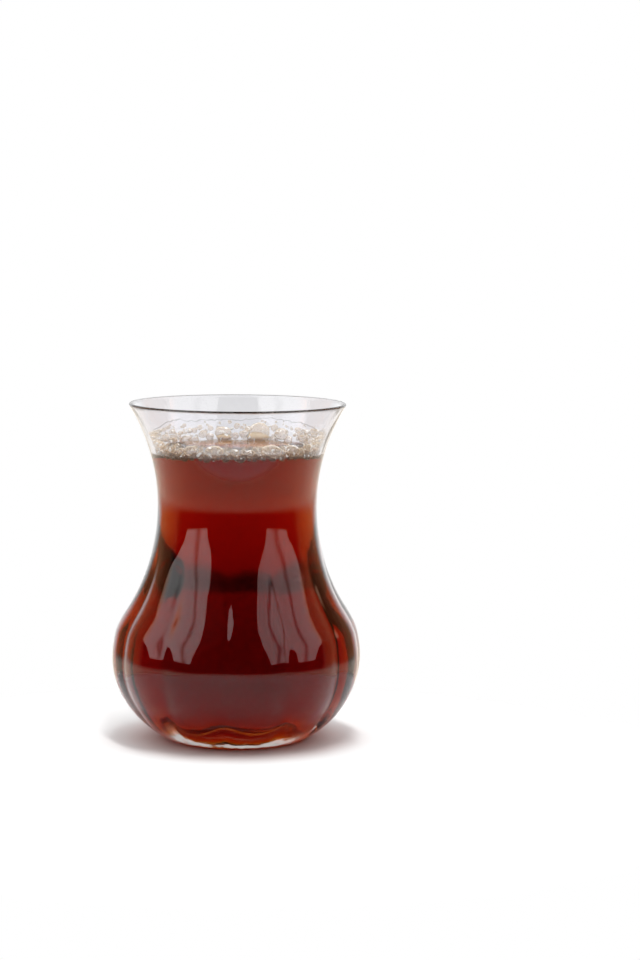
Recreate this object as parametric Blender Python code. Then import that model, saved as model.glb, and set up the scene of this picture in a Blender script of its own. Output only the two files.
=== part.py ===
# Fluted tea glass, filled with black tea that carries a ring of froth along the wall.
# Metres, +Z up. The origin is the middle of the flat foot. The photographed side faces -Y.

import math
import random
from collections import namedtuple

import bmesh
import bpy
from mathutils import Matrix, Vector

# Outer shape of the glass, measured over the crests of its flutes
HEIGHT = 0.088
FOOT_RADIUS = 0.0176
BELLY_RADIUS = 0.03265
BELLY_HEIGHT = 0.0215
BELLY_ARC = 0.028
UNDERSIDE_WIDTH = 0.0335
UNDERSIDE_DEPTH = 0.0262
SHOULDER = (0.028, 0.035)
WAIST_RADIUS = 0.0208
WAIST_HEIGHT = 0.0613
NECK_ARC = 0.0498
LIP_ROUND = 0.00065
FOOT_EDGE_SHARE = 0.25

# Wall and floor
LIP_WALL = 2 * LIP_ROUND
BELLY_WALL = 0.0025
FLOOR = 0.0045
BOWL_SQUARENESS = 2.5

# Flutes: shallow rounded lobes that meet in upright creases
FLUTES = 12
FLUTE_DEPTH = 0.00095
CREASE_ROUND = 0.9
FLUTE_FOOT_FADE = (0.001, 0.009)
FLUTE_NECK_FADE = (0.030, 0.072)
FIRST_CREASE = math.radians(-4.0)

# Tea and froth
GAP = 0.0003
TEA_LEVEL = 0.0763
FROTH_WIDTH = 0.0034
FROTH_EDGE = 0.0008
FROTH_BANK = 0.0025
FROTH_LIMIT = 0.0062

# Bubbles in tiers: sizes, height of the centres over the tea, distance of the centres from
# the wall in bubble radii, and spacing in bubble widths. Heights vary by the share in LIFT_SPREAD.
Tier = namedtuple("Tier", "smallest largest lift inwards spacing")
LARGE_AT_WALL = Tier(0.0014, 0.0025, 0.0012, 0.85, 0.95)
SMALL_ABOVE = Tier(0.0009, 0.0015, 0.0030, 0.85, 2.30)
FINE_INSIDE = Tier(0.0007, 0.0013, 0.0007, 3.10, 2.60)
LIFT_SPREAD = (0.8, 1.2)
BUBBLE_SEED = 12

# Colours, in linear light
GLASS_COLOUR = (0.93, 0.94, 0.95)
TEA_COLOUR = (0.20, 0.025, 0.008)
FROTH_COLOUR = (0.62, 0.50, 0.40)

# Fineness of the meshes: columns round the axis, and rows along each stretch of a section
GLASS_COLUMNS = 6 * FLUTES
TEA_COLUMNS = 4 * FLUTES
FROTH_COLUMNS = 3 * FLUTES
UNDERSIDE_ROWS = 8
BELLY_ROWS = 6
NECK_ROWS = 11
LIP_ROWS = 5
INNER_NECK_ROWS = 8
TEA_NECK_ROWS = 7
INNER_BELLY_ROWS = 4
BOWL_ROWS = 7
FROTH_ROWS = 3
BUBBLE_SIDES = 6
BUBBLE_RINGS = 4
WELD_DISTANCE = 1e-6
SHARP_ANGLE = math.radians(35.0)


def steps(first, last, count):
    """Evenly spaced values from first to last, both ends included."""
    return [first + (last - first) * i / count for i in range(count + 1)]


def ease(low, high, value):
    """0 below low, 1 above high and a smooth rise between them."""
    t = min(1.0, max(0.0, (value - low) / (high - low)))
    return t * t * (3.0 - 2.0 * t)


def belly_line(z, inset):
    """Radius and slope of the belly's arc, on a line set in from the outer surface."""
    rise = z - BELLY_HEIGHT
    reach = math.sqrt((BELLY_ARC - inset) ** 2 - rise ** 2)
    return BELLY_RADIUS - BELLY_ARC + reach, -rise / reach


def neck_line(z, inset):
    """Radius and slope of the neck's arc, on a line set in from the outer surface."""
    rise = z - WAIST_HEIGHT
    reach = math.sqrt((NECK_ARC + inset) ** 2 - rise ** 2)
    return WAIST_RADIUS + NECK_ARC - reach, rise / reach


def side_line(z, inset=0.0):
    """Radius of the wall above the belly: two arcs that a cubic curve joins at the shoulder."""
    low, high = SHOULDER
    if z <= low:
        return belly_line(z, inset)[0]
    if z >= high:
        return neck_line(z, inset)[0]
    t = (z - low) / (high - low)
    low_radius, low_slope = belly_line(low, inset)
    high_radius, high_slope = neck_line(high, inset)
    bend = t * (1.0 - t) * (high - low) * ((1.0 - t) * low_slope - t * high_slope)
    return low_radius + (high_radius - low_radius) * t * t * (3.0 - 2.0 * t) + bend


def wall_at(z):
    """Thickness of the wall, which thins from the belly to the lip."""
    return BELLY_WALL + (LIP_WALL - BELLY_WALL) * (z - BELLY_HEIGHT) / (HEIGHT - BELLY_HEIGHT)


def underside_line(z):
    """Outer radius below the belly, on an elliptic arc."""
    drop = (BELLY_HEIGHT - z) / UNDERSIDE_DEPTH
    return BELLY_RADIUS - UNDERSIDE_WIDTH * (1.0 - math.sqrt(1.0 - drop * drop))


def middle_of_wall(z):
    """Radius of a line that runs between the outer and the inner surface."""
    if z >= BELLY_HEIGHT:
        return side_line(z, wall_at(z) / 2.0)
    return underside_line(z) - BELLY_WALL / 2.0


def underside(count):
    """Outer outline from the flat foot out to the belly, an elliptic arc with a softened edge."""
    foot_angle = math.asin(BELLY_HEIGHT / UNDERSIDE_DEPTH)
    arc = []
    for angle in steps(foot_angle, 0.0, count):
        z = BELLY_HEIGHT - UNDERSIDE_DEPTH * math.sin(angle)
        arc.append((underside_line(z), z))
    edge_z = FOOT_EDGE_SHARE * arc[1][1]
    edge_radius = arc[0][0] + FOOT_EDGE_SHARE * (arc[1][0] - arc[0][0])
    return [(FOOT_RADIUS, 0.0), (edge_radius, edge_z)] + arc[1:]


def lip(count):
    """Rounded lip, from the outer wall over the top to the inner wall."""
    centre_z = HEIGHT - LIP_ROUND
    centre_radius = side_line(centre_z, LIP_ROUND)
    lean = math.asin((centre_z - WAIST_HEIGHT) / (NECK_ARC + LIP_ROUND))
    arc = []
    for angle in steps(-lean, math.pi - lean, count):
        arc.append((centre_radius + LIP_ROUND * math.cos(angle), centre_z + LIP_ROUND * math.sin(angle)))
    return arc


def bowl(count, clearance=0.0):
    """Inner outline from the belly down to the middle of the floor."""
    width = side_line(BELLY_HEIGHT, BELLY_WALL) - clearance
    depth = BELLY_HEIGHT - FLOOR - clearance
    power = 2.0 / BOWL_SQUARENESS
    arc = []
    for angle in steps(0.0, math.pi / 2.0, count):
        across = width * max(0.0, math.cos(angle)) ** power
        arc.append((across, BELLY_HEIGHT - depth * math.sin(angle) ** power))
    return arc


def inner_side(top, bottom, count, clearance=0.0):
    """Inner outline between two heights, from the top down."""
    return [(side_line(z, wall_at(z)) - clearance, z) for z in steps(top, bottom, count)]


def glass_section():
    """Half section of the glass: foot, underside, side, lip, inner wall and floor."""
    rounded_lip = lip(LIP_ROWS)
    belly = [(side_line(z), z) for z in steps(BELLY_HEIGHT, SHOULDER[1], BELLY_ROWS)]
    neck = [(side_line(z), z) for z in steps(SHOULDER[1], rounded_lip[0][1], NECK_ROWS)]
    inner_neck = inner_side(rounded_lip[-1][1], SHOULDER[1], INNER_NECK_ROWS)
    inner_belly = inner_side(SHOULDER[1], BELLY_HEIGHT, INNER_BELLY_ROWS)
    outline = [(0.0, 0.0)] + underside(UNDERSIDE_ROWS) + belly[1:] + neck[1:-1] + rounded_lip
    return outline + inner_neck[1:] + inner_belly[1:-1] + bowl(BOWL_ROWS)


def flute_depth(z):
    """Depth of the creases at a height: none at the foot and none towards the lip."""
    return FLUTE_DEPTH * ease(*FLUTE_FOOT_FADE, z) * (1.0 - ease(*FLUTE_NECK_FADE, z))


def spin(bm, section, columns):
    """Turn a half section, given as (radius, height) points, once round the Z axis."""
    direction = Vector((math.cos(FIRST_CREASE), math.sin(FIRST_CREASE), 0.0))
    verts = [bm.verts.new(direction * radius + Vector((0.0, 0.0, z))) for radius, z in section]
    edges = [bm.edges.new(pair) for pair in zip(verts, verts[1:])]
    bmesh.ops.spin(bm, geom=verts + edges, axis=(0.0, 0.0, 1.0), cent=(0.0, 0.0, 0.0),
                   angle=2.0 * math.pi, steps=columns)
    bmesh.ops.remove_doubles(bm, verts=bm.verts, dist=WELD_DISTANCE)
    bmesh.ops.recalc_face_normals(bm, faces=bm.faces)


def cut_flutes(bm):
    """Press the creases into the outer surface and leave the inner one round."""
    for vert in bm.verts:
        x, y, z = vert.co
        radius = math.hypot(x, y)
        depth = flute_depth(z)
        if depth == 0.0 or radius < middle_of_wall(z):
            continue
        share = ((math.atan2(y, x) - FIRST_CREASE) * FLUTES / (2.0 * math.pi)) % 1.0
        from_crest = abs(2.0 * share - 1.0)
        softened = max(0.0, from_crest - CREASE_ROUND) ** 2 / (1.0 - CREASE_ROUND)
        pressed = radius - depth * (from_crest ** 2 - softened)
        vert.co = Vector((x * pressed / radius, y * pressed / radius, z))


def make_material(name, colour, roughness, transmission):
    """Principled material of one sub-part."""
    material = bpy.data.materials.new(name)
    material.use_nodes = True
    shader = material.node_tree.nodes["Principled BSDF"]
    shader.inputs["Base Color"].default_value = (*colour, 1.0)
    shader.inputs["Roughness"].default_value = roughness
    shader.inputs["Metallic"].default_value = 0.0
    shader.inputs["Transmission Weight"].default_value = transmission
    return material


def make_object(name, bm, material=None):
    """Object from a bmesh, smooth where it is round and sharp at its edges."""
    mesh = bpy.data.meshes.new(name)
    bm.to_mesh(mesh)
    bm.free()
    mesh.shade_smooth()
    mesh.set_sharp_from_angle(angle=SHARP_ANGLE)
    if material is not None:
        mesh.materials.append(material)
    obj = bpy.data.objects.new(name, mesh)
    bpy.context.scene.collection.objects.link(obj)
    return obj


def flatten_foot(bm):
    """Turn the fan round the axis at the foot into one flat face."""
    centres = [v for v in bm.verts if v.co.length < WELD_DISTANCE]
    bmesh.ops.dissolve_verts(bm, verts=centres)


def make_glass():
    """The glass: one piece, with a flat foot, a thick floor and a fluted side."""
    bm = bmesh.new()
    spin(bm, glass_section(), GLASS_COLUMNS)
    cut_flutes(bm)
    flatten_foot(bm)
    return make_object("glass", bm, make_material("clear_glass", GLASS_COLOUR, 0.03, 1.0))


def make_tea():
    """The tea, up to its level, just clear of the glass."""
    neck = inner_side(TEA_LEVEL, SHOULDER[1], TEA_NECK_ROWS, GAP)
    belly = inner_side(SHOULDER[1], BELLY_HEIGHT, INNER_BELLY_ROWS, GAP)
    bm = bmesh.new()
    spin(bm, [(0.0, TEA_LEVEL)] + neck + belly[1:-1] + bowl(BOWL_ROWS, GAP), TEA_COLUMNS)
    return make_object("tea", bm, make_material("black_tea", TEA_COLOUR, 0.05, 0.9))


def froth_zone():
    """Room for the froth: a ring above the tea, just clear of the wall."""
    low, high = TEA_LEVEL + GAP, TEA_LEVEL + FROTH_LIMIT
    outside = inner_side(high, low, FROTH_ROWS, GAP)
    inside = side_line(low, wall_at(low)) - GAP - 2.0 * FROTH_WIDTH
    bm = bmesh.new()
    spin(bm, [(inside, low), (inside, high)] + outside + [(inside, low)], FROTH_COLUMNS)
    zone = make_object("froth_zone", bm)
    zone.hide_render = True
    zone.display_type = "WIRE"
    return zone


def froth_bed():
    """Bed that the bubbles stand in, banked up towards the wall."""
    low = TEA_LEVEL + GAP
    outer = side_line(low, wall_at(low)) - GAP
    inner = outer - FROTH_WIDTH
    section = [(inner, low), (inner, low + FROTH_EDGE), (outer - GAP, low + FROTH_BANK), (outer, low)]
    bm = bmesh.new()
    spin(bm, section + section[:1], FROTH_COLUMNS)
    return make_object("froth", bm, make_material("froth", FROTH_COLOUR, 0.25, 0.3))


def bubble_places():
    """Centre, radius and twist of each bubble that shows, tier by tier round the wall."""
    rng = random.Random(BUBBLE_SEED)
    for tier in (LARGE_AT_WALL, SMALL_ABOVE, FINE_INSIDE):
        turn = rng.uniform(0.0, 1.0)
        end = turn + 2.0 * math.pi
        while turn < end:
            size = rng.uniform(tier.smallest, tier.largest)
            z = TEA_LEVEL + GAP + tier.lift * rng.uniform(*LIFT_SPREAD)
            ring = side_line(z, wall_at(z)) - GAP - tier.inwards * size
            centre = Vector((ring * math.cos(turn), ring * math.sin(turn), z))
            yield centre, size, rng.uniform(0.0, math.pi)
            turn += 2.0 * size * tier.spacing / ring


def applied(obj):
    """Give an object the mesh that its modifiers make, and clear them."""
    evaluated = obj.evaluated_get(bpy.context.evaluated_depsgraph_get())
    obj.data = bpy.data.meshes.new_from_object(evaluated)
    obj.modifiers.clear()


def keep_largest_body(obj):
    """Drop loose scraps that trimming leaves beside the main body."""
    bm = bmesh.new()
    bm.from_mesh(obj.data)
    left = set(bm.verts)
    bodies = []
    while left:
        body, front = set(), [left.pop()]
        while front:
            vert = front.pop()
            body.add(vert)
            near = {edge.other_vert(vert) for edge in vert.link_edges} & left
            left -= near
            front.extend(near)
        bodies.append(body)
    largest = max(bodies, key=len)
    bmesh.ops.delete(bm, geom=[v for v in bm.verts if v not in largest], context="VERTS")
    bm.to_mesh(obj.data)
    bm.free()


def make_froth():
    """The froth: a bed with the showing bubbles fused on, trimmed to the room it has."""
    froth = froth_bed()
    bubbles = bpy.data.collections.new("bubbles")
    bpy.context.scene.collection.children.link(bubbles)
    for centre, size, twist in bubble_places():
        bm = bmesh.new()
        place = Matrix.Translation(centre) @ Matrix.Rotation(twist, 4, "Z")
        bmesh.ops.create_uvsphere(bm, u_segments=BUBBLE_SIDES, v_segments=BUBBLE_RINGS,
                                  radius=size, matrix=place)
        bubble = make_object("bubble", bm)
        bpy.context.scene.collection.objects.unlink(bubble)
        bubbles.objects.link(bubble)
    union = froth.modifiers.new("bubbles", "BOOLEAN")
    union.operation = "UNION"
    union.solver = "EXACT"
    union.operand_type = "COLLECTION"
    union.collection = bubbles
    applied(froth)
    for bubble in list(bubbles.objects):
        bpy.data.objects.remove(bubble, do_unlink=True)
    bpy.data.collections.remove(bubbles)
    zone = froth_zone()
    trim = froth.modifiers.new("trim", "BOOLEAN")
    trim.operation = "INTERSECT"
    trim.solver = "EXACT"
    trim.object = zone
    applied(froth)
    bpy.data.objects.remove(zone, do_unlink=True)
    keep_largest_body(froth)
    froth.data.shade_smooth()
    froth.data.set_sharp_from_angle(angle=SHARP_ANGLE)
    return froth


def main():
    """Clear the scene and build the glass, the tea and the froth."""
    for old in list(bpy.data.objects):
        bpy.data.objects.remove(old, do_unlink=True)
    make_glass()
    make_tea()
    make_froth()


main()
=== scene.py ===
"""Looks of a fluted glass of black tea with a ring of froth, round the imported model."""
import logging
import math
import random
from collections.abc import Mapping, Sequence
from dataclasses import dataclass
from enum import Enum

import bpy
import numpy as np
from mathutils import Matrix, Vector


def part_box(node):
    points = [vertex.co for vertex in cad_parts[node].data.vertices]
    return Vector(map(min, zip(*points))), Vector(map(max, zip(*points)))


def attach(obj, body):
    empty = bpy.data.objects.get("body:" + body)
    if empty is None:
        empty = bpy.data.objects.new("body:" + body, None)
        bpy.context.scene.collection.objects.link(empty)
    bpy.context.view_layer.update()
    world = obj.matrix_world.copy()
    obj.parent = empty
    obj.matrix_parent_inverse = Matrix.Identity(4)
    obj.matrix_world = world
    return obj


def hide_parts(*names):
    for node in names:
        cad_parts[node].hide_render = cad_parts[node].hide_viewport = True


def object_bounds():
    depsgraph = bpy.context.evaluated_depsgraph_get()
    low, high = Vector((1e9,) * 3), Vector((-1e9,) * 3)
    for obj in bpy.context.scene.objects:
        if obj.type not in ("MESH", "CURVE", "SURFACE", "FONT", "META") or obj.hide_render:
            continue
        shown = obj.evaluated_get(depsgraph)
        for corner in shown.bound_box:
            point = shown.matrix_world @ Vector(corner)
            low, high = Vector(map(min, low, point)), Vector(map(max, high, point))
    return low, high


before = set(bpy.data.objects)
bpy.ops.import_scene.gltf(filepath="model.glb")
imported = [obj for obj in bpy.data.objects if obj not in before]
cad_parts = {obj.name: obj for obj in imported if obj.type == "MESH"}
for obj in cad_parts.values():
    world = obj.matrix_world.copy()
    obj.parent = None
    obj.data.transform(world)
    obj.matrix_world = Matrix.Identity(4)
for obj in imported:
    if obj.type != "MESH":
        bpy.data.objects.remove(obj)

CAD_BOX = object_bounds()
LOG = logging.getLogger("tea_glass")

Ring = np.ndarray
Span = tuple[float, float]
Outline = list[tuple[float, float]]
Colour = tuple[float, float, float]
Triple = tuple[float, float, float]
FULL_TURN = 2.0 * math.pi
ON_AXIS = 1e-6
MIX_SHARE, MIX_LOW, MIX_HIGH, MIX_RESULT = 0, 6, 7, 2


class Signal:
    """A node socket that takes part in Python arithmetic by adding Math nodes."""

    def __init__(self, sheet: "NodeSheet", socket: bpy.types.NodeSocket) -> None:
        """Wrap a socket.

        Args:
            sheet: The node sheet that new nodes go on.
            socket: The output socket to wrap.
        """
        self.sheet = sheet
        self.socket = socket

    def _math(self, operation: str, first: object, second: object) -> "Signal":
        """Add one Math node.

        Args:
            operation: Blender's name of the operation.
            first: First operand, a number or a Signal.
            second: Second operand, a number or a Signal.

        Returns:
            The node's value.
        """
        return self.sheet.value("ShaderNodeMath", {"operation": operation}, {0: first, 1: second})

    def __add__(self, other: object) -> "Signal":
        """Sum."""
        return self._math("ADD", self, other)

    __radd__ = __add__

    def __sub__(self, other: object) -> "Signal":
        """Difference."""
        return self._math("SUBTRACT", self, other)

    def __rsub__(self, other: object) -> "Signal":
        """Difference with the number first."""
        return self._math("SUBTRACT", other, self)

    def __mul__(self, other: object) -> "Signal":
        """Product."""
        return self._math("MULTIPLY", self, other)

    __rmul__ = __mul__

    def between(self, low: float, high: float) -> "Signal":
        """Smooth rise from 0 at low to 1 at high.

        Args:
            low: Value at which the rise starts.
            high: Value at which it ends.

        Returns:
            The eased share.
        """
        values = {"Value": self, "From Min": low, "From Max": high}
        return self.sheet.value("ShaderNodeMapRange", {"interpolation_type": "SMOOTHSTEP"}, values)


class NodeSheet:
    """Adds nodes to one node tree."""

    def __init__(self, tree: bpy.types.NodeTree) -> None:
        """Start on an empty tree.

        Args:
            tree: The tree to fill, which is cleared first.
        """
        self.tree = tree
        tree.nodes.clear()

    def node(
        self,
        kind: str,
        settings: Mapping[str, object] | None = None,
        values: Mapping[str | int, object] | None = None,
    ) -> bpy.types.Node:
        """Add a node.

        Args:
            kind: The node's type.
            settings: Its own settings, set before its sockets.
            values: Socket name or number to a plain value, a Signal or a socket.

        Returns:
            The new node.
        """
        made = self.tree.nodes.new(kind)
        for name, value in (settings or {}).items():
            setattr(made, name, value)
        for key, value in (values or {}).items():
            self._feed(made.inputs[key], value)
        return made

    def value(
        self,
        kind: str,
        settings: Mapping[str, object] | None = None,
        values: Mapping[str | int, object] | None = None,
        output: str | int = 0,
    ) -> Signal:
        """Add a node and wrap one of its outputs.

        Args:
            kind: The node's type.
            settings: Its own settings.
            values: What its sockets take.
            output: Name or number of the output.

        Returns:
            The wrapped output.
        """
        return Signal(self, self.node(kind, settings, values).outputs[output])

    def mix_colours(self, share: object, low: object, high: object) -> Signal:
        """Mix two colours.

        Args:
            share: Share of the second colour.
            low: Colour at 0.
            high: Colour at 1.

        Returns:
            The mixed colour.
        """
        values = {MIX_SHARE: share, MIX_LOW: low, MIX_HIGH: high}
        return self.value("ShaderNodeMix", {"data_type": "RGBA"}, values, MIX_RESULT)

    def place(self) -> Signal:
        """Object coordinates."""
        return self.value("ShaderNodeTexCoord", output="Object")

    def part(self, vector: Signal, axis: str) -> Signal:
        """Take one part of a vector.

        Args:
            vector: The vector.
            axis: "X", "Y" or "Z".

        Returns:
            The part along that axis.
        """
        return self.value("ShaderNodeSeparateXYZ", values={0: vector}, output=axis)

    def _feed(self, socket: bpy.types.NodeSocket, value: object) -> None:
        """Link or set one socket.

        Args:
            socket: The input.
            value: A Signal, a socket, a number or a colour.
        """
        if isinstance(value, Signal):
            value = value.socket
        if isinstance(value, bpy.types.NodeSocket):
            self.tree.links.new(value, socket)
        elif isinstance(value, tuple) and socket.type == "RGBA" and len(value) == 3:
            socket.default_value = (*value, 1.0)
        else:
            socket.default_value = value


def new_material(name: str) -> tuple[bpy.types.Material, NodeSheet]:
    """Make a material.

    Args:
        name: Its name.

    Returns:
        The material and its empty node sheet.
    """
    made = bpy.data.materials.new(name)
    made.use_nodes = True
    return made, NodeSheet(made.node_tree)


@dataclass(frozen=True)
class ClearFinish:
    """Clear stuff that light passes, such as glass or tea.

    The ripples are a faint relief, and their size is in waves per metre along each axis. The roughness
    rises between the two lip heights. What is absorbed is given per metre, for red, green and blue.
    """

    name: str
    ior: float
    roughness: float = 0.0
    tint: Colour = (1.0, 1.0, 1.0)
    ripple_height: float = 0.0
    ripple_size: Triple = (1.0, 1.0, 1.0)
    lip_roughness: float = 0.0
    lip_heights: Span = (0.0868, 0.0875)
    absorbs: Colour | None = None
    density_margin: float = 1.05

    def material(self) -> bpy.types.Material:
        """Make the material.

        Returns:
            A Principled material, with a Volume Absorption where the finish absorbs.
        """
        made, sheet = new_material(self.name)
        values = {"Base Color": self.tint, "IOR": self.ior, "Transmission Weight": 1.0}
        values["Roughness"] = self._roughness(sheet)
        if self.ripple_height > 0.0:
            values["Normal"] = self._ripples(sheet)
        shader = sheet.node("ShaderNodeBsdfPrincipled", values=values)
        parts = {"Surface": shader.outputs[0]}
        if self.absorbs is not None:
            density = self.density_margin * max(self.absorbs)
            passed = tuple(1.0 - amount / density for amount in self.absorbs)
            inside = {"Color": passed, "Density": density}
            parts["Volume"] = sheet.value("ShaderNodeVolumeAbsorption", values=inside)
        sheet.node("ShaderNodeOutputMaterial", values=parts)
        return made

    def _ripples(self, sheet: NodeSheet) -> Signal:
        """Faint relief of a pressed or flowing surface.

        Args:
            sheet: The material's sheet.

        Returns:
            The bumped normal.
        """
        values = {"Vector": sheet.place(), "Scale": self.ripple_size}
        stretched = sheet.value("ShaderNodeMapping", values=values)
        values = {"Vector": stretched, "Scale": 1.0, "Detail": 2.0}
        waves = sheet.value("ShaderNodeTexNoise", values=values)
        values = {"Height": waves, "Strength": 1.0, "Distance": self.ripple_height}
        return sheet.value("ShaderNodeBump", values=values)

    def _roughness(self, sheet: NodeSheet) -> object:
        """Roughness, more at the lip where the finish is given one.

        Args:
            sheet: The material's sheet.

        Returns:
            A number, or a value that varies over the surface.
        """
        if self.lip_roughness == 0.0:
            return self.roughness
        height = sheet.part(sheet.place(), "Z")
        return self.roughness + self.lip_roughness * height.between(*self.lip_heights)


GLASS_IOR = 1.5
TEA_IOR = 1.33

DRY_GLASS = ClearFinish(
    "clear_glass",
    GLASS_IOR,
    tint=(0.90, 0.895, 0.92),
    ripple_height=0.00006,
    ripple_size=(230.0, 230.0, 9.0),
    lip_roughness=0.25,
)
WET_GLASS = ClearFinish(
    "clear_glass_wet", GLASS_IOR / TEA_IOR, ripple_height=0.00002, ripple_size=(90.0, 90.0, 12.0)
)
TEA_INSIDE = ClearFinish("black_tea", 1.0, absorbs=(41.0, 128.0, 260.0))
TEA_SKIN = ClearFinish("black_tea_surface", TEA_IOR, ripple_height=0.00002, ripple_size=(160.0, 160.0, 160.0))


@dataclass(frozen=True)
class FilmFinish:
    """Film of bubbles: see-through where it faces the eye, with a painted light rim towards its outline and
    painted dark shade at it.

    Its colour goes from low to high between two heights, and it carries small painted white glints,
    highlights put into its colour.
    """

    name: str
    low: Colour
    high: Colour
    heights: Span
    # Painted shade: near-black colour at the outline, where the film turns fully from the eye, on the brown
    # of the tea.
    outline: Colour = (0.07, 0.035, 0.018)
    painted_outline_shade_from: Span = (0.80, 0.93)
    # Painted highlight: the rim colour where the film turns from the eye, standing for its reflection.
    painted_rim_light: Colour = (0.95, 0.84, 0.66)
    painted_rim_light_from: Span = (0.35, 0.75)
    painted_rim_light_share: float = 0.8
    middle_cover: float = 0.26
    outline_cover: float = 0.90
    cover_from: Span = (0.35, 0.95)
    # Painted highlight: white glints set into the colour and cover where a fine noise is high.
    painted_glint: Colour = (1.0, 1.0, 0.97)
    painted_glint_size: float = 1100.0
    painted_glint_from: Span = (0.60, 0.64)
    painted_glint_cover: float = 0.8
    roughness: float = 0.08
    roughness_range: float = 0.05

    def material(self) -> bpy.types.Material:
        """Make the material.

        Returns:
            A Principled material whose cover and colour follow the angle of view and the height.
        """
        made, sheet = new_material(self.name)
        facing = sheet.value("ShaderNodeLayerWeight", values={"Blend": 0.5}, output="Facing")
        place = sheet.place()
        height = sheet.part(place, "Z")
        values = {"Vector": place, "Scale": self.painted_glint_size, "Detail": 1.0}
        cloud = sheet.value("ShaderNodeTexNoise", values=values)
        # Painted glints: white highlight specks where the noise is high.
        painted_glint = cloud.between(*self.painted_glint_from)
        body = sheet.mix_colours(height.between(*self.heights), self.low, self.high)
        # Painted rim light towards the outline.
        body = sheet.mix_colours(facing.between(*self.painted_rim_light_from) * self.painted_rim_light_share, body, self.painted_rim_light)
        # Painted dark outline shade.
        body = sheet.mix_colours(facing.between(*self.painted_outline_shade_from), body, self.outline)
        covering = facing.between(*self.cover_from)
        cover = self.middle_cover + (self.outline_cover - self.middle_cover) * covering
        shader = sheet.node(
            "ShaderNodeBsdfPrincipled",
            values={
                "Base Color": sheet.mix_colours(painted_glint, body, self.painted_glint),
                "Alpha": cover + painted_glint * (1.0 - self.middle_cover) * self.painted_glint_cover,
                "Roughness": self.roughness + self.roughness_range * cloud,
                "IOR": GLASS_IOR,
            },
        )
        sheet.node("ShaderNodeOutputMaterial", values={"Surface": shader.outputs[0]})
        return made


BUBBLE_FILM = FilmFinish("froth_film", (0.62, 0.34, 0.11), (0.78, 0.57, 0.33), (0.0760, 0.0785))
# Painted shade: dark brown bubbles low at the wall, standing for the shade under the front froth.
FOOT_SHADE_FILM = FilmFinish(
    "froth_foot_painted_shade", (0.13, 0.05, 0.02), (0.30, 0.15, 0.06), (0.0745, 0.0768),
    painted_rim_light=(0.62, 0.40, 0.22), middle_cover=0.66, painted_glint_from=(0.66, 0.70),
)
# Painted shade: a faint dark line along the wall where the froth wets it.
EDGE_SHADE_FILM = FilmFinish(
    "froth_edge_painted_shade", (0.10, 0.06, 0.05), (0.13, 0.09, 0.08), (0.075, 0.080),
    painted_rim_light=(0.10, 0.07, 0.06), middle_cover=0.16, outline_cover=0.36, painted_glint_from=(0.90, 0.95),
)
AMBER_FILM = FilmFinish(
    "froth_amber", (0.66, 0.36, 0.11), (0.80, 0.64, 0.40), (0.0762, 0.0778),
    outline=(0.42, 0.22, 0.07), painted_rim_light=(0.86, 0.70, 0.45), middle_cover=0.50, outline_cover=0.74,
)


class FrothSlot(Enum):
    """Material slots of the froth."""

    CLEAR = 0
    # Dark bubbles painted as the shade under the froth.
    PAINTED_FOOT_SHADE = 1
    EDGE = 2
    AMBER = 3


class Skin(Enum):
    """Material slots of the glass."""

    DRY = 0
    WET = 1


def ease(low: float, high: float, value: float) -> float:
    """Smooth rise.

    Args:
        low: Value up to which the result is 0.
        high: Value from which it is 1.
        value: The value itself.

    Returns:
        The eased share.
    """
    share = min(1.0, max(0.0, (value - low) / (high - low)))
    return share * share * (3.0 - 2.0 * share)


def spread(first: float, last: float, count: int) -> list[float]:
    """Evenly spaced values.

    Args:
        first: First value.
        last: Last value.
        count: Number of steps between them.

    Returns:
        The values, both ends included.
    """
    return [first + (last - first) * i / count for i in range(count + 1)]


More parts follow.
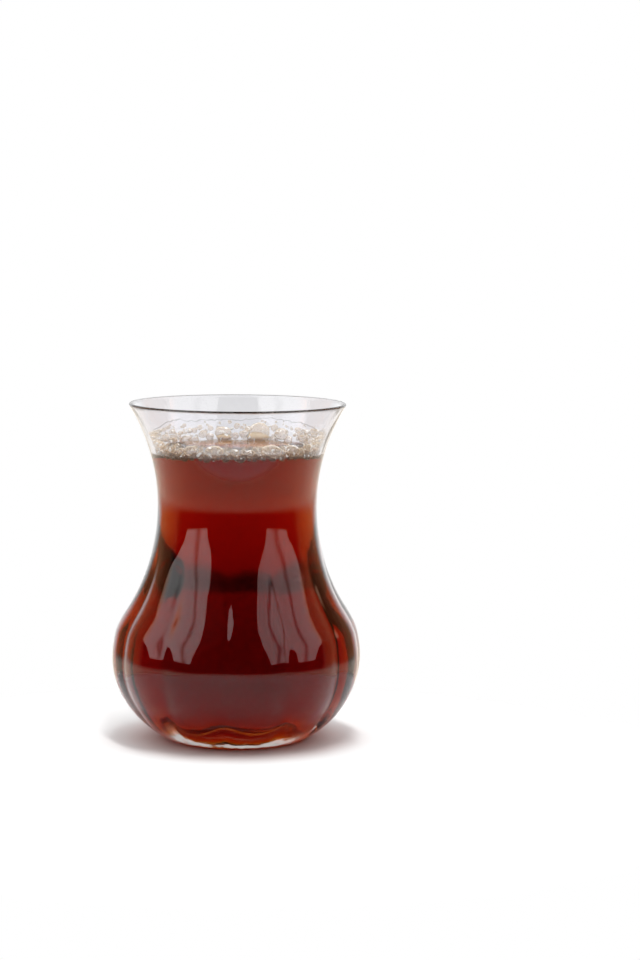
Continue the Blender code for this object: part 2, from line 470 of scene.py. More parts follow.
class MeshMaker:
    """Collects rings of points and patches, and makes one mesh object of them."""

    def __init__(self, name: str) -> None:
        """Start an empty mesh.

        Args:
            name: Name of the piece.
        """
        self.name = name
        self.points: list[np.ndarray] = []
        self.faces: list[tuple[int, ...]] = []
        self.slots: list[int] = []
        self.count = 0

    def _add_ring(self, ring: Ring) -> range:
        """Add the points of a ring.

        Args:
            ring: Rows of x, y and z.

        Returns:
            Numbers of its points in the mesh.
        """
        first = self.count
        self.points.append(ring)
        self.count += len(ring)
        return range(first, self.count)

    def _join(self, low: range, high: range, slot: int) -> None:
        """Add the faces between two rings of equal length, or between a ring and a point.

        Args:
            low: Numbers of the first ring's points.
            high: Numbers of the second ring's points.
            slot: Material slot of the faces.
        """
        columns = max(len(low), len(high))
        for i in range(columns):
            j = (i + 1) % columns
            if len(low) == 1:
                face = (low[0], high[j], high[i])
            elif len(high) == 1:
                face = (low[i], low[j], high[0])
            else:
                face = (low[i], low[j], high[j], high[i])
            self.faces.append(face)
            self.slots.append(slot)

    def lathe(self, rings: Sequence[Ring], slots: Sequence[int] | None = None) -> None:
        """Join rings into a surface, and close it where a ring is one point.

        Args:
            rings: The rings, from the outside's bottom round to the inside's.
            slots: Material slot of each band between two rings, all 0 when left out.
        """
        numbers = [self._add_ring(ring) for ring in rings]
        for band, (low, high) in enumerate(zip(numbers, numbers[1:])):
            self._join(low, high, slots[band] if slots else 0)

    def tube(self, line: np.ndarray, radius: float, slot: int, sides: int = 6) -> None:
        """Add a closed thin tube round the axis.

        Args:
            line: Points of its centre line, a closed loop round the axis.
            radius: Radius of the tube.
            slot: Its material slot.
            sides: Number of its sides.
        """
        outward = line * np.array([1.0, 1.0, 0.0])
        outward /= np.linalg.norm(outward, axis=1)[:, None]
        numbers = []
        for angle in spread(0.0, -FULL_TURN, sides)[:-1]:
            ring = line + radius * (outward * math.cos(angle) + np.array([0.0, 0.0, math.sin(angle)]))
            numbers.append(self._add_ring(ring))
        for side, low in enumerate(numbers):
            self._join(low, numbers[(side + 1) % sides], slot)

    def finish(self, materials: Sequence[bpy.types.Material]) -> bpy.types.Object:
        """Make the object.

        Args:
            materials: Its materials, by slot.

        Returns:
            The smooth object, linked to the scene.
        """
        mesh = bpy.data.meshes.new(self.name)
        mesh.from_pydata(np.concatenate(self.points).tolist(), [], self.faces)
        mesh.polygons.foreach_set("material_index", self.slots)
        for material in materials:
            mesh.materials.append(material)
        mesh.shade_smooth()
        mesh.update()
        piece = bpy.data.objects.new(self.name, mesh)
        bpy.context.scene.collection.objects.link(piece)
        return piece


@dataclass(frozen=True)
class GlassShape:
    """Lines of the glass in section and in plan, in metres.

    Belly and neck are arcs that meet at the shoulder, the bowl's floor is a squared ellipse, and the
    flutes are the lobes between creases pressed into the outside.
    """

    height: float
    floor: float
    foot_radius: float = 0.0176
    foot_round: float = 0.0008
    foot_steps: int = 5
    belly_radius: float = 0.03265
    belly_height: float = 0.0215
    belly_arc: float = 0.028
    underside_width: float = 0.0335
    underside_depth: float = 0.0262
    shoulder: Span = (0.028, 0.035)
    waist_radius: float = 0.0208
    waist_height: float = 0.0613
    neck_arc: float = 0.0498
    lip_round: float = 0.00042
    belly_wall: float = 0.0025
    bowl_squareness: float = 2.5
    flutes: int = 12
    flute_depth: float = 0.00095
    crease_round: float = 0.9
    flute_foot_fade: Span = (0.001, 0.009)
    flute_neck_fade: Span = (0.034, 0.055)
    first_crease: float = math.radians(-6.0)

    def side(self, z: float, inset: float = 0.0) -> float:
        """Radius of the wall above the belly.

        Args:
            z: Height.
            inset: How far in from the outer surface the line runs.

        Returns:
            The radius.
        """
        low, high = self.shoulder
        if z <= low:
            return self._belly(z, inset)[0]
        if z >= high:
            return self._neck(z, inset)[0]
        share = (z - low) / (high - low)
        low_radius, low_slope = self._belly(low, inset)
        high_radius, high_slope = self._neck(high, inset)
        bend = share * (1.0 - share) * (high - low) * ((1.0 - share) * low_slope - share * high_slope)
        return low_radius + (high_radius - low_radius) * share * share * (3.0 - 2.0 * share) + bend

    def _belly(self, z: float, inset: float) -> tuple[float, float]:
        """Radius and slope of the belly's arc.

        Args:
            z: Height.
            inset: How far in from the outer surface the line runs.

        Returns:
            The radius, and its change per height.
        """
        rise = z - self.belly_height
        reach = math.sqrt((self.belly_arc - inset) ** 2 - rise**2)
        return self.belly_radius - self.belly_arc + reach, -rise / reach

    def _neck(self, z: float, inset: float) -> tuple[float, float]:
        """Radius and slope of the neck's arc.

        Args:
            z: Height.
            inset: How far in from the outer surface the line runs.

        Returns:
            The radius, and its change per height.
        """
        rise = z - self.waist_height
        reach = math.sqrt((self.neck_arc + inset) ** 2 - rise**2)
        return self.waist_radius + self.neck_arc - reach, rise / reach

    def wall(self, z: float) -> float:
        """Thickness of the wall.

        Args:
            z: Height.

        Returns:
            The thickness, which falls from the belly to the lip.
        """
        share = (z - self.belly_height) / (self.height - self.belly_height)
        return self.belly_wall + (2.0 * self.lip_round - self.belly_wall) * share

    def inner(self, z: float) -> float:
        """Inner radius above the belly's widest point.

        Args:
            z: Height.

        Returns:
            The radius.
        """
        return self.side(z, self.wall(z))

    def underside(self, count: int) -> Outline:
        """Outer outline from the foot to the belly.

        Args:
            count: Number of steps.

        Returns:
            Radius and height of each point.
        """
        foot_angle = math.asin(self.belly_height / self.underside_depth)
        arc = []
        for angle in spread(foot_angle, 0.0, count):
            radius = self.belly_radius - self.underside_width * (1.0 - math.cos(angle))
            arc.append((radius, self.belly_height - self.underside_depth * math.sin(angle)))
        corner = arc[0][0]
        soft = [(radius, z) for radius, z in arc if z > self.foot_round]
        edge = []
        for share in spread(0.0, 1.0, self.foot_steps)[:-1]:
            keep = (1.0 - share) ** 2
            turn = 2.0 * share * (1.0 - share)
            radius = keep * self.foot_radius + turn * corner + share**2 * soft[0][0]
            edge.append((radius, share**2 * soft[0][1]))
        return edge + soft

    def lip(self, count: int) -> Outline:
        """Rounded lip, from the outer wall to the inner one.

        Args:
            count: Number of steps.

        Returns:
            Radius and height of each point.
        """
        centre_z = self.height - self.lip_round
        centre_radius = self.side(centre_z, self.lip_round)
        lean = math.asin((centre_z - self.waist_height) / (self.neck_arc + self.lip_round))
        return [
            (centre_radius + self.lip_round * math.cos(angle), centre_z + self.lip_round * math.sin(angle))
            for angle in spread(-lean, math.pi - lean, count)
        ]

    def bowl(self, count: int, grow: float = 0.0) -> Outline:
        """Inner outline from the belly to the middle of the floor.

        Args:
            count: Number of steps.
            grow: How far outside the inner surface the line runs.

        Returns:
            Radius and height of each point.
        """
        width = self.side(self.belly_height, self.belly_wall) + grow
        depth = self.belly_height - self.floor + grow
        power = 2.0 / self.bowl_squareness
        arc = []
        for angle in spread(0.0, math.pi / 2.0, count):
            across = width * max(0.0, math.cos(angle)) ** power
            arc.append((across, self.belly_height - depth * math.sin(angle) ** power))
        return arc

    def crease_depth(self, z: float) -> float:
        """Depth of the creases.

        Args:
            z: Height.

        Returns:
            The depth, none at the foot and at the lip.
        """
        return self.flute_depth * ease(*self.flute_foot_fade, z) * (1.0 - ease(*self.flute_neck_fade, z))

    def ring(self, radius: float, z: float, columns: int, depth: float = 0.0) -> Ring:
        """Points of one level.

        Args:
            radius: Radius at the crests.
            z: Height.
            columns: Number of points.
            depth: Depth of the creases.

        Returns:
            The points, or the one point on the axis.
        """
        if radius < ON_AXIS:
            return np.array([[0.0, 0.0, z]])
        turn = np.arange(columns) / columns
        from_crest = np.abs(2.0 * ((turn * self.flutes) % 1.0) - 1.0)
        softened = np.maximum(0.0, from_crest - self.crease_round) ** 2 / (1.0 - self.crease_round)
        pressed = radius - depth * (from_crest**2 - softened)
        angle = FULL_TURN * turn + self.first_crease
        return np.stack([pressed * np.cos(angle), pressed * np.sin(angle), np.full(columns, z)], axis=1)


@dataclass
class GlassBody:
    """The fluted glass itself, one piece with two skins: dry, and wet where tea touches it."""

    shape: GlassShape
    wet_height: float
    columns_per_flute: int = 20
    underside_steps: int = 40
    side_steps: int = 110
    lip_steps: int = 18
    dry_steps: int = 30
    wet_steps: int = 80
    bowl_steps: int = 44

    def build(self) -> bpy.types.Object:
        """Build and dress the glass.

        Returns:
            The piece.
        """
        shape = self.shape
        columns = shape.flutes * self.columns_per_flute
        lip = shape.lip(self.lip_steps)
        side = [(shape.side(z), z) for z in spread(shape.belly_height, lip[0][1], self.side_steps)]
        outer = [(0.0, 0.0)] + shape.underside(self.underside_steps) + side[1:]
        rings = [shape.ring(radius, z, columns, shape.crease_depth(z)) for radius, z in outer]
        rings += [shape.ring(radius, z, columns) for radius, z in lip[1:]]
        slots = [Skin.DRY.value] * (len(rings) - 1)
        dry_wall = spread(lip[-1][1], self.wet_height, self.dry_steps)[1:]
        wet_wall = spread(self.wet_height, shape.belly_height, self.wet_steps)[1:]
        inner = [(shape.inner(z), z) for z in dry_wall + wet_wall] + shape.bowl(self.bowl_steps)[1:]
        rings += [shape.ring(radius, z, columns) for radius, z in inner]
        slots += [Skin.DRY.value] * len(dry_wall)
        slots += [Skin.WET.value] * (len(rings) - 1 - len(slots))
        maker = MeshMaker("glass_body")
        maker.lathe(rings, slots)
        piece = maker.finish([DRY_GLASS.material(), WET_GLASS.material()])
        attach(piece, "root")
        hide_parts("glass")
        return piece


@dataclass
class TeaBody:
    """The tea up to its level, and the skin of its surface, which the froth presses down at the wall.

    The tea reaches a little into the wall, and the skin is lifted off it, so that no faces coincide.
    """

    shape: GlassShape
    level: float
    dip: float = 0.0009
    dip_width: float = 0.0022
    reach: float = 0.00005
    skin_lift: float = 0.00001
    columns: int = 144
    top_steps: int = 50
    top_crowding: float = 1.6
    side_steps: int = 70
    bowl_steps: int = 44

    @property
    def wet_height(self) -> float:
        """Height up to which tea wets the wall."""
        return self.level - self.dip

    def top(self, widen: float, lift: float) -> Outline:
        """Surface of the tea, from its middle to the wall.

        Args:
            widen: How far past the inner wall it reaches.
            lift: How far it is raised.

        Returns:
            Radius and height of each point.
        """
        edge = self.shape.inner(self.wet_height) + widen
        line = []
        for share in spread(0.0, 1.0, self.top_steps):
            radius = edge * (1.0 - (1.0 - share) ** self.top_crowding)
            from_wall = ease(0.0, self.dip_width, edge - radius)
            line.append((radius, self.level - self.dip * (1.0 - from_wall) + lift))
        return line

    def build_body(self) -> bpy.types.Object:
        """Build the tea itself.

        Returns:
            The piece.
        """
        shape = self.shape
        top = self.top(self.reach, 0.0)
        heights = spread(self.wet_height, shape.belly_height, self.side_steps)[1:]
        side = [(shape.inner(z) + self.reach, z) for z in heights]
        line = top + side + shape.bowl(self.bowl_steps, self.reach)[1:]
        maker = MeshMaker("tea_body")
        maker.lathe([shape.ring(radius, z, self.columns) for radius, z in reversed(line)])
        piece = maker.finish([TEA_INSIDE.material()])
        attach(piece, "root")
        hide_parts("tea")
        return piece

    def build_skin(self) -> bpy.types.Object:
        """Build the surface of the tea.

        Returns:
            The piece.
        """
        maker = MeshMaker("tea_surface")
        line = self.top(0.0, self.skin_lift)
        maker.lathe([self.shape.ring(radius, z, self.columns) for radius, z in reversed(line)])
        piece = maker.finish([TEA_SKIN.material()])
        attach(piece, "root")
        return piece


@dataclass(frozen=True)
class Bubble:
    """One bubble of thin film: a dome where it stands on the tea, a whole ball where it stands higher.

    Its centre is given by the turn from the photographed side, in radians, the inset from the wall and
    the lift over the tea. The squash is its height as a share of its width.
    """

    turn: float
    inset: float
    lift: float
    radius: float
    squash: float = 0.88
    slot: FrothSlot = FrothSlot.CLEAR

    def centre(self, shape: GlassShape, level: float) -> np.ndarray:
        """Place of the bubble.

        Args:
            shape: The glass that it stands in.
            level: Height of the tea.

        Returns:
            The centre.
        """
        z = level + self.lift
        ring = shape.inner(z) - self.inset
        return np.array([ring * math.sin(self.turn), -ring * math.cos(self.turn), z])


@dataclass(frozen=True)
class BubbleRun:
    """A run of bubbles that are dropped at random wherever there is room.

    They stand up to the inset range further in than at the wall, and keep apart by the closeness times
    the sum of their radii. The reach is the widest turn from the photographed side, in radians.
    """

    tries: int
    radii: Span
    inset_range: float
    lifts: Span
    closeness: float = 0.9
    slot: FrothSlot = FrothSlot.CLEAR
    reach: float = math.pi


@dataclass
class FrothRing:
    """Bubbles that stand on the tea along the wall, lower at the photographed side than behind.

    The depth is how far they reach down past the tea's level at the wall, and the wall share how much of
    its radius a bubble's centre keeps off the wall. The edge is the line up to which they wet the wall,
    drawn as a thin painted shade line, and each of its waves is a height, a count round the glass and
    a start. The detail gives the sides and rows of bubbles over a radius.
    """

    shape: GlassShape
    level: float
    depth: float = 0.0022
    seed: int = 7
    clear_of_wall: float = 0.00002
    wall_share: float = 0.85
    width: float = 0.0042
    front_height: float = 0.0034
    back_height: float = 0.0058
    back_from: Span = (0.3, 1.0)
    edge_thickness: float = 0.00013
    edge_columns: int = 240
    edge_heights: Span = (0.0031, 0.0050)
    edge_from: Span = (0.7, 1.0)
    edge_waves: tuple[tuple[float, float, float], ...] = ((0.00030, 5.0, 0.4), (0.00018, 11.0, 1.9))
    detail: tuple[tuple[float, int, int], ...] = ((0.0012, 28, 18), (0.0006, 18, 12), (0.0, 10, 7))
    sharp_from: float = math.radians(50.0)
    large: tuple[Bubble, ...] = (
        Bubble(math.radians(-72.0), 0.00110, 0.0012, 0.00135, 0.80),
        Bubble(math.radians(-61.0), 0.00090, 0.0008, 0.00110, 0.80),
        Bubble(math.radians(-50.0), 0.00085, 0.0010, 0.00105, 0.80),
        Bubble(math.radians(-34.1), 0.00140, 0.0009, 0.00170, 0.76),
        Bubble(math.radians(-16.7), 0.00210, 0.0008, 0.00245, 0.66),
        Bubble(math.radians(25.0), 0.00225, 0.0008, 0.00265, 0.66),
        Bubble(math.radians(41.7), 0.00175, 0.0008, 0.00205, 0.72),
        Bubble(math.radians(56.0), 0.00105, 0.0012, 0.00125, 0.80),
        Bubble(math.radians(67.0), 0.00120, 0.0014, 0.00145, 0.80),
        Bubble(math.radians(80.0), 0.00105, 0.0014, 0.00130, 0.80),
        Bubble(math.radians(163.5), 0.00260, 0.0022, 0.00300, 0.78),
        Bubble(math.radians(190.5), 0.00200, 0.0018, 0.00230, 0.75),
        Bubble(math.radians(145.0), 0.00160, 0.0016, 0.00190, 0.80),
        Bubble(math.radians(163.5), 0.00310, 0.0006, 0.00290, 0.50, FrothSlot.AMBER),
        Bubble(math.radians(190.5), 0.00250, 0.0005, 0.00200, 0.52, FrothSlot.AMBER),
    )
    runs: tuple[BubbleRun, ...] = (
        BubbleRun(220, (0.0009, 0.0015), 0.0007, (-0.0002, 0.0016)),
        BubbleRun(900, (0.0005, 0.0010), 0.0015, (0.0, 0.0034)),
        # Dark brown bubbles low at the wall: painted shade under the froth.
        BubbleRun(1200, (0.0005, 0.0012), 0.0006, (-0.0011, 0.0001), 0.60, FrothSlot.PAINTED_FOOT_SHADE, 1.75),
        BubbleRun(700, (0.00032, 0.0006), 0.0027, (-0.0002, 0.0050), 0.95),
    )

    def _height_limit(self, turn: float, inset: float) -> float:
        """How high the froth stands.

        Args:
            turn: Angle from the photographed side.
            inset: Distance from the wall.

        Returns:
            The height over the tea, which falls away from the wall.
        """
        behind = ease(*self.back_from, abs(math.sin(turn / 2.0)))
        at_wall = self.front_height + (self.back_height - self.front_height) * behind
        return at_wall * max(0.0, 1.0 - inset / self.width)

    def bubbles(self) -> list[Bubble]:
        """Fill the ring.

        Returns:
            All bubbles, the large ones first.
        """
        rng = random.Random(self.seed)
        kept = list(self.large)
        centres = [bubble.centre(self.shape, self.level) for bubble in kept]
        for run in self.runs:
            for _ in range(run.tries):
                size = rng.uniform(*run.radii)
                turn = rng.uniform(-run.reach, run.reach)
                inset = size * self.wall_share + rng.uniform(0.0, run.inset_range) * rng.random()
                lift = rng.uniform(*run.lifts)
                if lift + size > self._height_limit(turn, inset):
                    continue
                bubble = Bubble(turn, inset, lift, size, slot=run.slot)
                place = bubble.centre(self.shape, self.level)
                gaps = np.linalg.norm(np.array(centres) - place, axis=1)
                room = np.array([other.radius for other in kept]) + size
                if np.all(gaps > run.closeness * room):
                    kept.append(bubble)
                    centres.append(place)
        return kept

    def _skin(self, bubble: Bubble) -> list[Ring]:
        """Rings of one bubble's film, flat where it meets the tea and the wall.

        Args:
            bubble: The bubble.

        Returns:
            The rings from the bottom to the top.
        """
        sides, rows = next(count for least, *count in self.detail if bubble.radius > least)
        centre = bubble.centre(self.shape, self.level)
        rings = []
        for angle in spread(math.pi, 0.0, rows):
            reach = bubble.radius * math.sin(angle)
            up = bubble.radius * bubble.squash * math.cos(angle)
            ring = self.shape.ring(reach, up, sides) + centre
            ring[:, 2] = np.maximum(ring[:, 2], self.level - self.depth)
            rings.append(self._inside_glass(ring))
        return rings

    def _edge_line(self) -> np.ndarray:
        """Line along the wall up to which the froth wets it, just over the bubbles.

        Returns:
            Points of the closed line.
        """
        points = []
        front, back = self.edge_heights
        for turn in spread(-math.pi, math.pi, self.edge_columns)[:-1]:
            behind = ease(*self.edge_from, abs(math.sin(turn / 2.0)))
            waves = sum(height * math.sin(count * turn + start) for height, count, start in self.edge_waves)
            z = self.level + front + (back - front) * behind + waves
            radius = self.shape.inner(z) - self.edge_thickness
            points.append((radius * math.sin(turn), -radius * math.cos(turn), z))
        return np.array(points)

    def _inside_glass(self, ring: Ring) -> Ring:
        """Flatten a ring against the wall.

        Args:
            ring: Points of the ring.

        Returns:
            The points, none past the wall.
        """
        reach = np.hypot(ring[:, 0], ring[:, 1])
        limit = np.array([self.shape.inner(z) for z in ring[:, 2]]) - self.clear_of_wall
        scale = np.minimum(1.0, limit / reach)
        return ring * np.stack([scale, scale, np.ones(len(ring))], axis=1)

    def build(self) -> bpy.types.Object:
        """Build and dress the froth.

        Returns:
            The piece.
        """
        maker = MeshMaker("froth_bubbles")
        for bubble in self.bubbles():
            rings = self._skin(bubble)
            maker.lathe(rings, [bubble.slot.value] * len(rings))
        # Thin dark tube along the froth's top edge: a painted shade line.
        maker.tube(self._edge_line(), self.edge_thickness, FrothSlot.EDGE.value)
        piece = maker.finish([film.material() for film in (BUBBLE_FILM, FOOT_SHADE_FILM, EDGE_SHADE_FILM, AMBER_FILM)])
        piece.data.set_sharp_from_angle(angle=self.sharp_from)
        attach(piece, "root")
        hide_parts("froth")
        return piece


@dataclass(frozen=True)
class SoftBox:
    """A tall soft light beside the table, as clear things show it, with an upright bar that shades it.

    The inner and outer edges are degrees from the photographed side, at the bottom and higher up. The
    bar's place is a share of the way from the inner edge to the outer.
    """

    side: float
    brightness: float
    inner: Span = (41.0, 31.0)
    inner_lean_end: float = 0.45
    outer: Span = (76.0, 102.0)
    outer_lean_end: float = 0.35
    bottom: float = 0.0
    top: float = 0.94
    blur: float = 0.03
    bar_place: float = 0.42
    bar_reach: float = math.radians(7.0)
    bar_shade: float = 0.5

    def seen(self, turn: Signal, up: Signal) -> Signal:
        """Brightness of the light in each direction.

        Args:
            turn: Direction's turn from the photographed side, in radians.
            up: Direction's height.

        Returns:
            The brightness, 0 off the light.
        """
        away = turn * self.side
        inner_low, inner_high = (math.radians(edge) for edge in self.inner)
        outer_low, outer_high = (math.radians(edge) for edge in self.outer)
        inner = inner_low + (inner_high - inner_low) * up.between(0.0, self.inner_lean_end)
        outer = outer_low + (outer_high - outer_low) * up.between(0.0, self.outer_lean_end)
        across = (away - inner).between(0.0, self.blur) * (outer - away).between(0.0, self.blur)
        along = up.between(self.bottom, self.bottom + self.blur) * (self.top - up).between(0.0, self.blur)
        middle = inner + (outer - inner) * self.bar_place
        bar = (away - middle).between(-self.bar_reach, 0.0) * (middle - away).between(-self.bar_reach, 0.0)
        return across * along * self.brightness * (1.0 - bar * self.bar_shade)


@dataclass(frozen=True)
class Surroundings:
    """Brightness of the room, one for each of the eye, reflections, clear things and the table.

    A wide white screen stands behind the glass, and the room in front of it is dark. Names with passed
    are for what clear things let through. Each span is of how far a direction points up or back.
    """

    dark: float = 0.11
    screen: float = 1.35
    screen_edge: Span = (0.80, 0.92)
    screen_top: Span = (0.50, 0.75)
    passed_front: float = 0.3
    passed_far: float = 0.78
    passed_ceiling: float = 0.5
    passed_turn: Span = (-0.2, 0.5)
    far_edge: Span = (-0.15, -0.03)
    horizon: Span = (-0.015, 0.0)
    table_beyond: float = 0.95
    table_edge: Span = (-0.175, -0.095)
    shade: float = 0.42
    shade_edge: Span = (-0.52, -0.41)
    table_front: float = 0.62
    table_back: float = 1.10
    table_turn: Span = (-0.6, 0.6)
    table_reflected: float = 1.30
    table_tint: Colour = (1.0, 0.90, 0.78)
    boxes: tuple[SoftBox, ...] = (SoftBox(-1.0, 2.2), SoftBox(1.0, 1.75))
    warm: Colour = (0.95, 0.50, 0.34)
    warm_from: Span = (-0.05, 0.25)
    warm_to: Span = (0.70, 0.85)

    def build(self) -> bpy.types.World:
        """Make the world.

        Returns:
            The world.
        """
        world = bpy.data.worlds.new("surroundings")
        world.use_nodes = True
        sheet = NodeSheet(world.node_tree)
        direction = sheet.value("ShaderNodeTexCoord", output="Generated")
        flat = {0: direction, 1: (1.0, 1.0, 0.0)}
        level = sheet.value("ShaderNodeVectorMath", {"operation": "MULTIPLY"}, flat)
        heading = sheet.value("ShaderNodeVectorMath", {"operation": "NORMALIZE"}, {0: level})
        across = sheet.part(heading, "X")
        back = sheet.part(heading, "Y")
        up = sheet.part(direction, "Z")
        turn = sheet.value("ShaderNodeMath", {"operation": "ARCTAN2"}, {0: across, 1: 0.0 - back})
        low = 1.0 - up.between(*self.screen_top)
        above = up.between(*self.horizon)
        beneath = self.table_beyond * (1.0 - above)
        past_edge = up.between(*self.table_edge)
        table_seen = self.table_reflected * (1.0 - past_edge)
        shaded = self.shade + (1.0 - self.shade) * up.between(*self.shade_edge)
        left_box, right_box = (box.seen(turn, up) for box in self.boxes)
        boxes = left_box + right_box
        warm = back.between(*self.warm_from) * past_edge
        lit = warm + (1.0 - warm) * self.dark
        screen = (self.screen - lit) * back.between(*self.screen_edge)
        reflected = past_edge * (lit + screen * low) + table_seen + boxes
        room = self.passed_front + (1.0 - self.passed_front) * back.between(*self.passed_turn)
        dimmed = 1.0 - (1.0 - self.passed_far) * up.between(*self.far_edge)
        ceiling = self.passed_ceiling
        passed = dimmed * (above * (ceiling + (room - ceiling) * low) + beneath * shaded) + boxes
        table = self.table_front + (self.table_back - self.table_front) * back.between(*self.table_turn)
        path = sheet.node("ShaderNodeLightPath")
        to_eye = Signal(sheet, path.outputs["Is Camera Ray"])
        through = Signal(sheet, path.outputs["Is Transmission Ray"])
        off_gloss = Signal(sheet, path.outputs["Is Glossy Ray"]) * (1.0 - through)
        on_table = table * (1.0 - to_eye - off_gloss - through)
        strength = on_table + to_eye + off_gloss * reflected + through * passed
        tinted = off_gloss * warm * (1.0 - back.between(*self.warm_to))
        colour = sheet.mix_colours(tinted, (1.0, 1.0, 1.0), self.warm)
        colour = sheet.mix_colours(off_gloss * (1.0 - past_edge), colour, self.table_tint)
        background = sheet.node("ShaderNodeBackground", values={"Color": colour, "Strength": strength})
        sheet.node("ShaderNodeOutputWorld", values={"Surface": background.outputs[0]})
        return world


@dataclass(frozen=True)
class Lamp:
    """A soft rectangular light on the table, which clear things don't show."""

    name: str
    place: Triple
    size: tuple[float, float]
    radiance: float

    def build(self) -> bpy.types.Object:
        """Build the light, turned to the foot of the glass.

        Returns:
            The light object.
        """
        light = bpy.data.lights.new(self.name, "AREA")
        light.shape = "RECTANGLE"
        light.size, light.size_y = self.size
        light.energy = self.radiance * math.pi * self.size[0] * self.size[1]
        lamp = bpy.data.objects.new(self.name, light)
        place = Vector(self.place)
        lamp.matrix_world = Matrix.Translation(place) @ place.to_track_quat("Z", "Y").to_matrix().to_4x4()
        lamp.visible_glossy = False
        lamp.visible_transmission = False
        bpy.context.scene.collection.objects.link(lamp)
        return lamp


@dataclass(frozen=True)
class TableFinish:
    """Matt white, with painted pinkish caustic light and shadow round the foot, and gone at the far edge,
    where the screen shows.
    """

    colour: Colour = (0.87, 0.87, 0.87)
    roughness: float = 0.9
    painted_caustic_shadow: Colour = (0.69, 0.52, 0.50)
    painted_caustic_shadow_reach: Span = (0.018, 0.038)
    middle: Triple = (0.0, -0.05, 0.0)
    fade: Span = (0.100, 0.125)

    def material(self) -> bpy.types.Material:
        """Make the material.

        Returns:
            A Principled material mixed with a transparent one.
        """
        made, sheet = new_material("table_white")
        place = sheet.place()
        reach = sheet.value("ShaderNodeVectorMath", {"operation": "LENGTH"}, {0: place}, "Value")
        # Painted caustic light and shadow: a pinkish, darker colour near the foot that fades to white.
        colour = sheet.mix_colours(reach.between(*self.painted_caustic_shadow_reach), self.painted_caustic_shadow, self.colour)
        values = {"Base Color": colour, "Roughness": self.roughness}
        shader = sheet.node("ShaderNodeBsdfPrincipled", values=values)
        clear = sheet.node("ShaderNodeBsdfTransparent")
        ends = {0: place, 1: self.middle}
        from_middle = sheet.value("ShaderNodeVectorMath", {"operation": "DISTANCE"}, ends, "Value")
        values = {0: from_middle.between(*self.fade), 1: shader.outputs[0], 2: clear.outputs[0]}
        mixed = sheet.node("ShaderNodeMixShader", values=values)
        sheet.node("ShaderNodeOutputMaterial", values={"Surface": mixed.outputs[0]})
        return made


@dataclass
class Studio:
    """White table, white screen behind, dark room in front, and soft lights."""

    table_radius: float = 0.3
    table_drop: float = 0.0001
    table_columns: int = 96
    table_rings: int = 12
    table_finish: TableFinish = TableFinish()
    lamps: tuple[Lamp, ...] = (
        Lamp("overhead", (0.06, -0.22, 1.0), (0.09, 0.58), 31.0),
        Lamp("left_lamp", (-0.75, -0.28, 0.80), (1.0, 1.7), 0.55),
        Lamp("right_lamp", (0.76, -0.26, 0.80), (1.0, 1.7), 0.55),
    )
    surroundings: Surroundings = Surroundings()

    def build(self) -> None:
        """Build the whole studio."""
        self._table()
        for lamp in self.lamps:
            lamp.build()
        bpy.context.scene.world = self.surroundings.build()

    def _table(self) -> None:
        """Build the round table top."""
        maker = MeshMaker("table")
        angle = np.arange(self.table_columns) / self.table_columns * FULL_TURN
        level = np.full(self.table_columns, -self.table_drop)
        rings = [np.array([[0.0, 0.0, -self.table_drop]])]
        for radius in spread(0.0, self.table_radius, self.table_rings)[1:]:
            rings.append(np.stack([radius * np.cos(angle), radius * np.sin(angle), level], axis=1))
        maker.lathe(rings[::-1])
        material = self.table_finish.material()
        maker.finish([material])


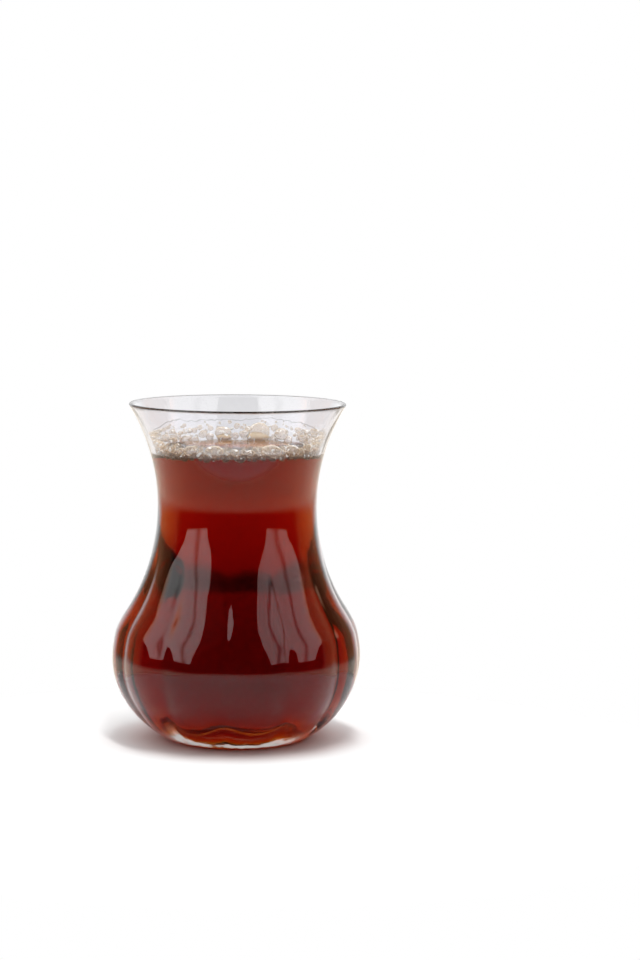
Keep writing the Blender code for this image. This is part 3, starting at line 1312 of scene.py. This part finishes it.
@dataclass(frozen=True)
class PhotographCamera:
    """The photograph's own viewpoint, worked out from the rim's and the foot's ellipses."""

    distance: float = 0.7146
    height: float = 0.1456
    pitch: float = math.radians(6.207)
    yaw: float = math.radians(1.727)
    roll: float = math.radians(0.40)
    focal_pixels: float = 2757.1
    picture_height: float = 960.0
    sensor: float = 36.0
    near: float = 0.01

    def build(self) -> None:
        """Build the camera and make it the scene's."""
        data = bpy.data.cameras.new("photograph")
        data.sensor_width = self.sensor
        data.lens = self.focal_pixels / self.picture_height * self.sensor
        data.clip_start = self.near
        camera = bpy.data.objects.new("photograph", data)
        turned = Matrix.Rotation(-self.yaw, 4, "Z") @ Matrix.Rotation(math.pi / 2.0 - self.pitch, 4, "X")
        turned = turned @ Matrix.Rotation(self.roll, 4, "Z")
        camera.matrix_world = Matrix.Translation((0.0, -self.distance, self.height)) @ turned
        bpy.context.scene.collection.objects.link(camera)
        bpy.context.scene.camera = camera


@dataclass(frozen=True)
class PictureSettings:
    """Light paths long enough for many clear layers, and plain colours whose dark end is pulled down."""

    dark_end: tuple[tuple[float, float], ...] = (
        (0.01, 0.0012), (0.02, 0.003), (0.036, 0.0123), (0.05, 0.024),
        (0.08, 0.055), (0.12, 0.098), (0.20, 0.19), (0.35, 0.35),
    )
    combined_curve: int = 3
    clear_bounces: int = 24
    glossy_bounces: int = 8
    see_through_bounces: int = 48
    indirect_limit: float = 3.0

    def apply(self) -> None:
        """Set them on the scene."""
        scene = bpy.context.scene
        scene.view_settings.view_transform = "Standard"
        scene.view_settings.use_curve_mapping = True
        mapping = scene.view_settings.curve_mapping
        for place in self.dark_end:
            mapping.curves[self.combined_curve].points.new(*place)
        mapping.update()
        scene.cycles.max_bounces = self.clear_bounces
        scene.cycles.transmission_bounces = self.clear_bounces
        scene.cycles.glossy_bounces = self.glossy_bounces
        scene.cycles.transparent_max_bounces = self.see_through_bounces
        scene.cycles.use_denoising = True
        scene.cycles.sample_clamp_indirect = self.indirect_limit


def main() -> None:
    """Build every sub-assembly in order, and report each piece."""
    logging.basicConfig(level=logging.INFO, format="%(name)s: %(message)s")
    height = CAD_BOX[1][2]
    tea_low, tea_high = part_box("tea")
    shape = GlassShape(height=height, floor=tea_low[2])
    PhotographCamera().build()
    Studio().build()
    tea = TeaBody(shape, tea_high[2])
    pieces = [
        GlassBody(shape, tea.wet_height).build(),
        tea.build_body(),
        tea.build_skin(),
        FrothRing(shape, tea_high[2]).build(),
    ]
    for piece in pieces:
        LOG.info("%s: %d faces", piece.name, len(piece.data.polygons))
    PictureSettings().apply()


if __name__ == "__main__":
    main()
